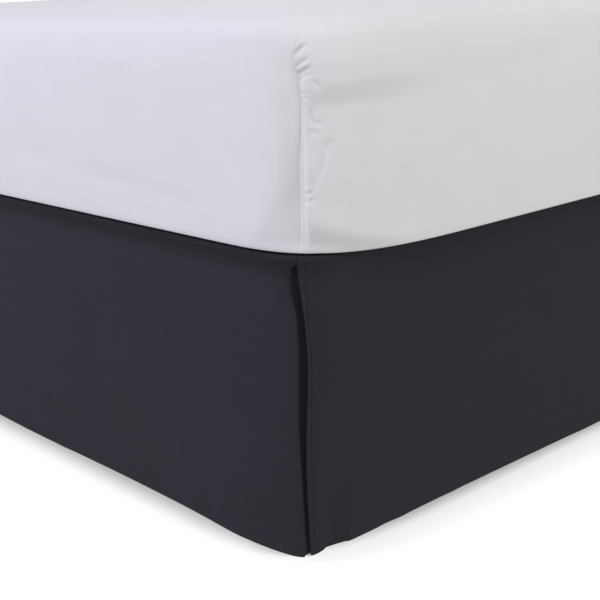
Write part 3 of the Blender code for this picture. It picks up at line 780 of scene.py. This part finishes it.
def outlineAt(distance):  # point and outward normal, which is taken over a few points to turn softly
    distance %= outlineRun[-1]
    at = min(len(outline) - 1, bisect_right(outlineRun, distance))
    before, after = outline[at - 1], outline[at]
    share = (distance - outlineRun[at - 1]) / (outlineRun[at] - outlineRun[at - 1])
    wide = (outline[(at + 3) % (len(outline) - 1)] - outline[at - 4]).normalized()
    return before.lerp(after, share), Vector((wide.y, -wide.x))


def nearestSeam(distance):  # its number, how far back of it the place is, and which way back runs
    best = None
    for number, (run, sign) in enumerate(seamRuns):
        away = distance - run
        if best is None or abs(away) < abs(best[1]):
            best = number, away, sign
    return best[0], best[1] * best[2], best[2]


def mattressColumns():  # close beside each seam, and wider between
    near, step = mattress["nearSeam"], mattress["besideStep"]
    spread = [near[-1] + step * number for number in range(1, 20)]
    spread += [near[0] - step * number for number in range(1, 16)]
    columns = [run + sign * back for run, sign in seamRuns for back in list(near) + spread]
    columns.sort()
    filled = [0.0]
    for place in columns + [outlineRun[-1]]:
        gap = place - filled[-1]
        pieces = max(1, round(gap / mattress["farStep"])) if gap > 20 else 1
        filled += [filled[-1] + gap * (number + 1) / pieces for number in range(pieces)]
    return filled


def softRamp(amount):  # even slope, eased in over the first fifth
    return 0 if amount < 0 else 2.5 * amount ** 2 if amount < 0.2 else amount - 0.1


def seamRelief(back, height, number):
    line = back - tableAt(mattress["seamPath"], height)
    width, rise = rowAt(mattress["allowance"], height)
    reach, depth = rowAt(mattress["valley"], height)
    # The hollow deepens up to the seam and recovers behind it, where the allowance makes a low ridge.
    relief = -depth * (softRamp(1 + line / reach) if line < 0 else 0.9 * exp(-line / 45))
    relief += rise * ease(line / 1.4) * (1 - ease((line - width + 0.8) / 2.0))
    depth, width = mattress["seamLine"]
    relief -= depth * bump(line, 0, width) * ease((262 - height) / 20)
    place, depth, width, lowest, highest, fade = mattress["topstitch"]
    ends = ease((height - lowest) / fade) * ease((highest - height) / fade)
    relief -= depth * bump(line, place, width) * ends
    shift, strength = mattress["corners"][number][:2]
    if -2 < back < 50:
        relief += foldRelief(back, height + shift, puckers) * strength
    return relief


def tuckRelief(back, height):
    top, depth = rowAt(mattress["tuck"], back)
    return depth * ease(height / top) * exp(-max(0, height - top) / mattress["tuckRecovers"])


def rollRelief(back, height):
    rows = mattress["roll"]
    top, depth, span = rowAt(rows, back)
    under = top - height
    recovers = exp(-max(0, under - span) / mattress["rollRecovers"])
    return depth * ease(under / span) * recovers * ease((rows[-1][0] - back) / mattress["rollFade"])


def sheetRelief(distance, height):
    number, back, _ = nearestSeam(distance)
    relief = 0.0
    if abs(back) < 90:
        fade = mix(0.1, 1, ease(height / 14))
        relief += seamRelief(back, height, number) * fade * ease((90 - abs(back)) / 45)
    meet = ease(min(abs(distance - border) for border in seamBorders) / mattress["creaseMeet"])
    stretch, shift, strength = mattress["corners"][number][2:]
    relief += meet * strength * foldRelief(back * stretch, height + shift, longCreases)
    if mattress["tuck"][0][0] < back < mattress["tuck"][-1][0]:
        relief += tuckRelief(back, height)
    if mattress["roll"][0][0] < back < mattress["roll"][-1][0]:
        relief -= rollRelief(back, height)
    for depth, size, seed, full in mattress["sideWaves"]:
        relief += depth * meet * drift(distance, height, size, number + seed) * ease(height / full)
    return relief


def fittedMattress(name):
    columns = mattressColumns()
    width, length, depth = mattress["width"], mattress["length"], mattress["depth"]
    heights = list(mattress["lowRows"])
    fillTo(heights, 232, 2.1)
    fillTo(heights, 268, 3.2)
    heights[-1] = depth
    shares = mattress["topShares"]
    middle = Vector((mattress["middleX"], mattress["footY"] + length / 2))
    topBegins = mattress["topBegins"]

    def spot(column, row):  # height, how far round, and share of the way in to the top's middle
        height = heights[min(row, len(heights) - 1)]
        place = columns[column]
        _, back, sign = nearestSeam(place)
        follow = ease(1 - abs(back) / mattress["seamPull"])
        shifted = place + sign * tableAt(mattress["seamPath"], height) * follow
        share = shares[row - len(heights)] if row >= len(heights) else 0
        return height, shifted, share

    def placeAt(column, row):
        height, distance, share = spot(column, row)
        point, outward = outlineAt(distance)
        inset = tableAt(mattress["section"], height)
        inset += mattress["sideBow"] * (1 - sin(pi * height / depth))
        begins, deepest = rowAt(mattress["shoulder"], nearestSeam(distance)[1])
        inset += deepest * (max(0, height - begins) / (depth - begins)) ** 2
        level = height + mattress["crown"] * (1 - (1 - share) ** 2)
        flat = Vector((point.x * (1 - 2 * inset / width), point.y * (1 - 2 * inset / length)))
        flat *= 1 - share
        onTop = ease((height - topBegins) / (depth - topBegins))
        relief = sheetRelief(distance, height) * (1 - onTop) * (1 - ease(share * 8))
        lift = 0.0
        if height > topBegins:  # soft waves over the top
            lift = onTop * sum(deep * drift(flat.x, flat.y, size, seed)
                               for deep, size, seed in mattress["topWaves"])
        flat += outward * relief + middle
        return Vector((flat.x, flat.y, mattress["bottom"] + level + lift)) / 1000

    def uvAt(column, row):
        if row >= len(heights) - 1:
            place = placeAt(column, row)
            return place.x, place.y
        return columns[column] / 1000, heights[row] / 1000

    bm = makeGrid(len(columns), len(heights) + len(shares), placeAt, uvAt)
    bmesh.ops.remove_doubles(bm, verts=bm.verts, dist=0.00005)
    bmesh.ops.holes_fill(bm, edges=[edge for edge in bm.edges if edge.is_boundary], sides=0)
    bmesh.ops.recalc_face_normals(bm, faces=bm.faces)
    return addPiece(name, bm, [percale], ["mattress"])


dressedMattress = fittedMattress("fittedSheetMattress")
print("mattress dressed", len(dressedMattress.data.polygons), "faces")

# The foundation, and under it six turned legs with felt glides.
foundationShape = {"corner": 70, "cornerSteps": 14, "rim": 8, "rimSteps": 4}


def foundationBox(name):
    low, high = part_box("foundation")
    bm = bmesh.new()
    bmesh.ops.create_cube(bm, size=1)
    bmesh.ops.scale(bm, vec=high - low, verts=bm.verts)
    bmesh.ops.translate(bm, vec=(high + low) / 2, verts=bm.verts)
    upright = [edge for edge in bm.edges if abs(edge.verts[0].co.z - edge.verts[1].co.z) > 0.1]
    bmesh.ops.bevel(bm, geom=upright, offset=foundationShape["corner"] / 1000,
                    segments=foundationShape["cornerSteps"], profile=0.5,
                    affect="EDGES", offset_type="OFFSET", material=-1)
    rims = [edge for edge in bm.edges if any(abs(face.normal.z) > 0.9 for face in edge.link_faces)]
    bmesh.ops.bevel(bm, geom=rims, offset=foundationShape["rim"] / 1000,
                    segments=foundationShape["rimSteps"], profile=0.5,
                    affect="EDGES", offset_type="OFFSET", material=-1)
    threads = bm.loops.layers.uv.new("threads")
    for face in bm.faces:
        side = abs(face.normal.z) < 0.7
        face.material_index = 1 if face.normal.z < -0.99 else 0  # the dust cover is underneath
        for loop in face.loops:
            co = loop.vert.co
            around = co.x if abs(face.normal.y) > abs(face.normal.x) else co.y
            loop[threads].uv = (around, co.z) if side else (co.x, co.y)
    return addPiece(name, bm, [ticking, fleece], ["foundation"])


foundation = foundationBox("foundationBase")

legShape = {
    "foot": (  # radius, height: the glide, then the leg, which widens upwards
        (0, 0), (20.5, 0), (21.6, 0.8), (21.6, 3.0), (22.2, 3.0), (23.0, 3.8), (23.4, 6)),
    "collar": ((27.0, 9), (27.5, 7), (27.5, 1.2), (26.6, 0), (0, 0)),  # radius, distance from the top
    "glideHeight": 3, "steps": 32, "sharpAngle": 50,
}


def turnedLeg(name, node):
    low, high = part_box(node)
    middle = (low + high) / 2
    depth = (high.z - low.z) * 1000
    profile = list(legShape["foot"]) + [(radius, depth - below) for radius, below in legShape["collar"]]
    bm = bmesh.new()
    verts = [bm.verts.new((middle.x + radius / 1000, middle.y, low.z + height / 1000))
             for radius, height in profile]
    edges = [bm.edges.new(pair) for pair in zip(verts, verts[1:])]
    bmesh.ops.spin(bm, geom=verts + edges, cent=(middle.x, middle.y, low.z), axis=(0, 0, 1),
                   angle=2 * pi, steps=legShape["steps"], use_merge=True)
    bmesh.ops.remove_doubles(bm, verts=bm.verts, dist=0.00002)
    bmesh.ops.recalc_face_normals(bm, faces=bm.faces)
    for face in bm.faces:
        onGlide = face.calc_center_median().z < low.z + legShape["glideHeight"] / 1000
        face.material_index = 1 if onGlide else 0
    piece = addPiece(name, bm, [polypropylene, felt], [node])
    piece.data.set_sharp_from_angle(angle=radians(legShape["sharpAngle"]))
    return piece


for number in range(1, 7):
    turnedLeg(f"foundationLeg{number}", f"foundation_leg_{number}")
print("foundation and legs made")

# The floor is matt white paper, so it has hardly any grain.
floorMesh = bpy.data.meshes.new("studioFloor")
floorBm = bmesh.new()
bmesh.ops.create_grid(floorBm, x_segments=1, y_segments=1, size=9)
floorBm.to_mesh(floorMesh)
floorBm.free()
floor = bpy.data.objects.new("studioFloor", floorMesh)
bpy.context.scene.collection.objects.link(floor)
floorMesh.materials.append(grainedPlain("whitePaper", {
    "ior": 1.45, "grainSize": 2, "wearSize": 400, "bump": 0.02,
    "roughness": (0.9, 0.95), "colours": [(0.2, "#f6f6f6"), (0.8, "#f8f8f8")]}))
floor.visible_diffuse = False  # the bed stays clear of the white floor's glare

light = {
    "world": 0.48, "aim": (0.2, -0.5, 0.35),  # the panels face this point, in metres
    "panels": (  # place, size, power, colour, reaches the floor
        ((-1.2, -3.8, 3.0), (2.6, 1.6), 75, "#d8ddff", False),
        ((-0.6, -4.2, 1.0), (2.4, 1.0), 30, "#f0f2ff", False),
        ((2.4, -2.8, 2.8), (2.0, 2.0), 25, "#ffffff", True),
        ((3.0, -3.2, 1.2), (1.4, 1.4), 5, "#ffffff", False),
        ((2.0, 0.1, 3.2), (0.9, 2.6), 13, "#ffffff", False),
        ((4.0, 0.6, 1.2), (1.0, 2.2), 43, "#ffffff", False),
        ((-4.2, 3.0, 2.4), (2.5, 1.6), 60, "#ffffff", True),
        ((0.2, 5.0, 2.2), (2.5, 1.6), 45, "#ffffff", True),
    ),
    "suns": ((4.4, 3.4, 5.4, 1.7), (-4, 7, 11, 0.95)),  # leans in X and Y and disc in degrees, strength
}
# The suns reach the floor alone, where they draw the short soft shadow round the hem.
floorAlone = bpy.data.collections.new("floorAlone")
floorAlone.objects.link(floor)
bedAlone = bpy.data.collections.new("bedAlone")
bedAlone.objects.link(floor)
bedAlone.collection_objects[0].light_linking.link_state = "EXCLUDE"


def addLight(name, kind, place, direction, settings, receivers=None):
    data = bpy.data.lights.new(name, kind)
    for key, value in settings.items():
        setattr(data, key, value)
    lamp = bpy.data.objects.new(name, data)
    lamp.location = place
    lamp.rotation_mode = "QUATERNION"
    lamp.rotation_quaternion = Vector(direction).to_track_quat("-Z", "Y")
    lamp.light_linking.receiver_collection = receivers
    bpy.context.scene.collection.objects.link(lamp)


for number, (place, size, power, colour, onFloor) in enumerate(light["panels"]):
    addLight(f"softPanel{number}", "AREA", place, Vector(light["aim"]) - Vector(place),
             {"shape": "RECTANGLE", "size": size[0], "size_y": size[1], "energy": power,
              "color": hexColour(colour)[:3]}, None if onFloor else bedAlone)
for number, (leanX, leanY, disc, strength) in enumerate(light["suns"]):
    addLight(f"floorSun{number}", "SUN", (0, 0, 5), (-tan(radians(leanX)), -tan(radians(leanY)), -1),
             {"energy": strength, "angle": radians(disc)}, floorAlone)

world = bpy.data.worlds.new("paleStudio")
world.use_nodes = True
tree = world.node_tree
dim = tree.nodes["Background"]
dim.inputs["Color"].default_value = (1, 1, 1, 1)
dim.inputs["Strength"].default_value = light["world"]
# What the camera sees of the world is white paper, brighter than the fill light that it gives.
paper = addNode(tree, "Background", {"Color": (1, 1, 1, 1), "Strength": 1.0})
path = addNode(tree, "LightPath")
seen = addNode(tree, "MixShader", None, {0: (path, "Is Camera Ray"), 1: (dim, "Background"),
                                         2: (paper, "Background")})
tree.links.new(seen.outputs["Shader"], tree.nodes["World Output"].inputs["Surface"])
bpy.context.scene.world = world
bpy.context.scene.view_settings.view_transform = "Standard"
print("floor and lights set")

# The camera stands where the two hems, the split and the mattress's lower edge line up with the photo.
view = {"place": (1.6385, -1.8230, 0.6543), "look": (-0.7177, 0.6426, -0.2678),
        "right": (0.6746, 0.7372, -0.0389), "focalPixels": 1155.3, "imagePixels": 600, "sensor": 36}
cameraData = bpy.data.cameras.new("photoCamera")
cameraData.lens = view["focalPixels"] / view["imagePixels"] * view["sensor"]
cameraData.sensor_width = view["sensor"]
cameraData.clip_start, cameraData.clip_end = 0.05, 60
camera = bpy.data.objects.new("photoCamera", cameraData)
forward = Vector(view["look"]).normalized()
sideways = (Vector(view["right"]) - forward * forward.dot(Vector(view["right"]))).normalized()
upward = sideways.cross(forward)
camera.matrix_world = Matrix((sideways, upward, -forward)).transposed().to_4x4()
camera.location = view["place"]
bpy.context.scene.collection.objects.link(camera)
bpy.context.scene.camera = camera

print("scene ready")
